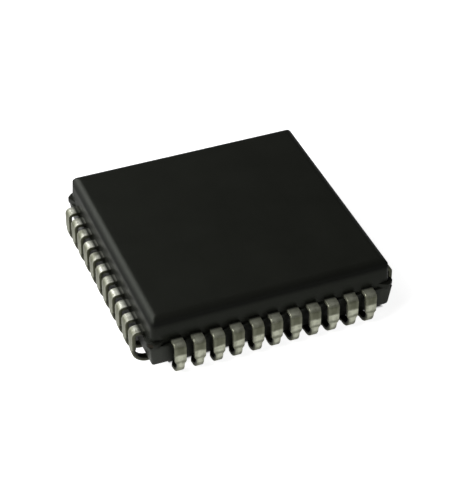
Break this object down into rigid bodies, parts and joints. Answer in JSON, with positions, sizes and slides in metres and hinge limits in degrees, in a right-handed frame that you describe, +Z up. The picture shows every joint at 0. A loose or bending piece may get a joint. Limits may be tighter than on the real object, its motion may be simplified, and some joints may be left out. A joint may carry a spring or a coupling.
{
  "type": "leaded chip carrier",
  "caption": "Square black plastic chip carrier with J-shaped leads along all four sides, for soldering flat on a board or pressing into a socket.",
  "frame": {"origin": "middle of the square, on the seat where the leads touch the board", "axes": "+Z up out of the board, +X and +Y along the sides; the pictured long row of leads faces -Y"},
  "size_m": [0.0176, 0.0176, 0.0043],
  "materials": {
    "moulding": "black epoxy moulding compound, fine spark-eroded grain",
    "lead": "copper alloy strip, plated with dull tin",
    "frame": "bare copper alloy strip of the lead frame, inside the moulding",
    "glue": "silver-filled epoxy",
    "silicon": "polished silicon",
    "wire": "drawn gold wire"
  },
  "bodies": {
    "root": {"body": "moulding", "paddle": "frame", "die_bond": "glue", "die": "silicon", "bond_wires": "wire", "lead_01": "lead", "lead_02": "lead", "lead_03": "lead", "lead_04": "lead", "lead_05": "lead", "lead_06": "lead", "lead_07": "lead", "lead_08": "lead", "lead_09": "lead", "lead_10": "lead", "lead_11": "lead", "lead_12": "lead", "lead_13": "lead", "lead_14": "lead", "lead_15": "lead", "lead_16": "lead", "lead_17": "lead", "lead_18": "lead", "lead_19": "lead", "lead_20": "lead", "lead_21": "lead", "lead_22": "lead", "lead_23": "lead", "lead_24": "lead", "lead_25": "lead", "lead_26": "lead", "lead_27": "lead", "lead_28": "lead", "lead_29": "lead", "lead_30": "lead", "lead_31": "lead", "lead_32": "lead", "lead_33": "lead", "lead_34": "lead", "lead_35": "lead", "lead_36": "lead", "lead_37": "lead", "lead_38": "lead", "lead_39": "lead", "lead_40": "lead", "lead_41": "lead", "lead_42": "lead", "lead_43": "lead", "lead_44": "lead"}
  },
  "joints": []
}
